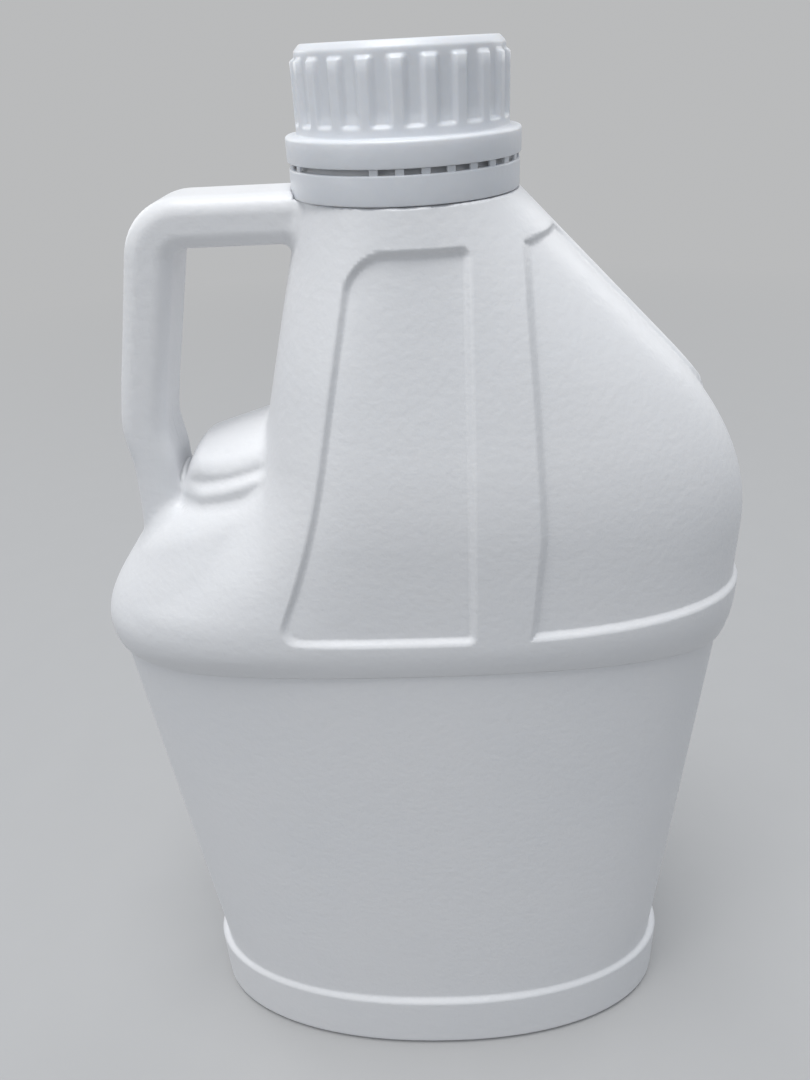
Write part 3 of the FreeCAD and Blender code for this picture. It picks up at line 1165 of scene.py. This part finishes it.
def moulded_plastic(name, tones, roughness, peel, translucence, parting_line):
    """Satin moulded plastic with a fine peel, soft sink waves and, where asked, a faint parting line."""
    material, tree, shader = new_material(name)
    place = add_node(tree, "ShaderNodeTexCoord").outputs["Object"]
    mottle = in_range(tree, noise(tree, place, mottle_scale, detail=3.0), 0.0, 1.0)
    tree.links.new(two_tones(tree, mottle, *tones), shader.inputs["Base Color"])
    rubbed = noise(tree, place, rub_scale, detail=4.0)
    rubbed = in_range(tree, rubbed, roughness - rub_smoother, roughness + rub_rougher)
    tree.links.new(rubbed, shader.inputs["Roughness"])
    waves = noise(tree, place, wave_scale, detail=1.0)
    relief = bumped(tree, waves, wave_height * MM, wave_strength)
    ripples = noise(tree, place, ripple_scale, detail=2.0)
    relief = bumped(tree, ripples, ripple_height * MM, peel, relief)
    grain = noise(tree, place, peel_scale, detail=2.0)
    relief = bumped(tree, grain, peel_height * MM, peel, relief)
    if parting_line:
        axes = add_node(tree, "ShaderNodeSeparateXYZ", Vector=place)
        aside = calculate(tree, "ABSOLUTE", axes.outputs["Y"])
        near, far = parting_line_edges
        ridge = in_range(tree, aside, 1.0, 0.0, near * MM, far * MM)
        relief = bumped(tree, ridge, parting_line_height * MM, parting_line_strength, relief)
    tree.links.new(relief, shader.inputs["Normal"])
    shader.inputs["Subsurface Weight"].default_value = translucence
    shader.inputs["Subsurface Radius"].default_value = scatter_colours
    shader.inputs["Subsurface Scale"].default_value = scatter_depth * MM
    shader.inputs["IOR"].default_value = plastic_ior
    return material


def foam(name):
    """Matt closed-cell foam."""
    material, tree, shader = new_material(name)
    place = add_node(tree, "ShaderNodeTexCoord").outputs["Object"]
    cells = add_node(tree, "ShaderNodeTexVoronoi", Vector=place, Scale=foam_scale).outputs["Distance"]
    tone = two_tones(tree, in_range(tree, cells, 0.0, 1.0, *foam_cell_edges), *foam_tones)
    tree.links.new(tone, shader.inputs["Base Color"])
    matt = in_range(tree, cells, *foam_roughness, *foam_cell_edges)
    tree.links.new(matt, shader.inputs["Roughness"])
    relief = bumped(tree, cells, foam_height * MM, foam_strength)
    tree.links.new(relief, shader.inputs["Normal"])
    return material


def seen_rays(tree):
    """1 on the rays that show the background, and 0 on those that light the object."""
    ray = add_node(tree, "ShaderNodeLightPath").outputs
    found = ray["Is Camera Ray"]
    for name in ("Is Glossy Ray", "Is Transmission Ray"):
        found = calculate(tree, "MAXIMUM", found, ray[name])
    return found


def floor_paper(name):
    """Pale paper that sends little light back up, and fades to the backdrop's tone far from the object."""
    material, tree, shader = new_material(name)
    place = add_node(tree, "ShaderNodeTexCoord").outputs["Object"]
    seen = seen_rays(tree)
    paper = two_tones(tree, noise(tree, place, floor_grain_scale, detail=3.0), *floor_tones)
    tree.links.new(two_tones(tree, seen, floor_bounce_tone, paper), shader.inputs["Base Color"])
    shader.inputs["Roughness"].default_value = floor_roughness
    distance = add_node(tree, "ShaderNodeVectorMath", {"operation": "LENGTH"}, Vector=place).outputs["Value"]
    fade = calculate(tree, "MULTIPLY", in_range(tree, distance, 0.0, 1.0, *floor_fade), seen)
    even = add_node(tree, "ShaderNodeEmission", Color=backdrop_tone)
    mix_shaders(tree, fade, shader, even, "Material Output")
    return material


def make_floor():
    """Wide level floor under the object."""
    half = floor_width / 2
    mesh = bpy.data.meshes.new("floor")
    corners = [(-half, -half, 0), (half, -half, 0), (half, half, 0), (-half, half, 0)]
    mesh.from_pydata(corners, [], [(0, 1, 2, 3)])
    mesh.materials.append(floor_paper("floor_paper"))
    floor = bpy.data.objects.new("floor", mesh)
    bpy.context.scene.collection.objects.link(floor)


def make_lamp(name, place, size, power):
    """Soft square lamp that points at the middle of the object."""
    data = bpy.data.lights.new(name, "AREA")
    data.size = size
    data.energy = power
    lamp = bpy.data.objects.new(name, data)
    lamp.location = place
    lamp.rotation_euler = (Vector(lamp_aim) - Vector(place)).to_track_quat("-Z", "Y").to_euler()
    bpy.context.scene.collection.objects.link(lamp)


def make_light():
    """Soft top light with weaker fills all round, in a plain room."""
    for name, place, size, power in lamps:
        make_lamp(name, place, size, power)
    world = bpy.data.worlds.new("studio")
    world.use_nodes = True
    tree = world.node_tree
    room = tree.nodes["Background"]
    room.inputs["Color"].default_value = room_tone
    room.inputs["Strength"].default_value = room_light
    backdrop = add_node(tree, "ShaderNodeBackground", Color=backdrop_tone)
    mix_shaders(tree, seen_rays(tree), room, backdrop, "World Output")
    bpy.context.scene.world = world


def make_camera():
    """Camera at the photograph's place, with its tilt and roll."""
    yaw, pitch, roll = (math.radians(value) for value in (camera_yaw, camera_pitch, camera_roll))
    level = Vector((math.sin(yaw), math.cos(yaw), 0))
    right = Vector((math.cos(yaw), -math.sin(yaw), 0))
    up = Vector((0, 0, 1))
    ahead = level * math.cos(pitch) - up * math.sin(pitch)
    down = -up * math.cos(pitch) - level * math.sin(pitch)
    side = right * math.cos(roll) + down * math.sin(roll)
    below = down * math.cos(roll) - right * math.sin(roll)
    data = bpy.data.cameras.new("camera")
    data.sensor_width = sensor_width
    data.lens = focal_pixels * sensor_width / max(image_width, image_height)
    data.clip_start = near_clip
    camera = bpy.data.objects.new("camera", data)
    turn = Matrix((side, -below, -ahead)).transposed().to_4x4()
    camera.matrix_world = Matrix.Translation(Vector(camera_place) * MM) @ turn
    bpy.context.scene.collection.objects.link(camera)
    bpy.context.scene.camera = camera


body_plastic = moulded_plastic("body_plastic", body_tones, body_roughness, body_peel, body_translucence, True)
cap_plastic = moulded_plastic("cap_plastic", cap_tones, cap_roughness, cap_peel, cap_translucence, False)
make_bottle(body_plastic)
copies = spread_tree()
make_cap(copies, cap_plastic)
make_band(copies, cap_plastic)
make_liner(foam("liner_foam"))
make_floor()
make_light()
make_camera()
bpy.context.scene.view_settings.view_transform = "Standard"
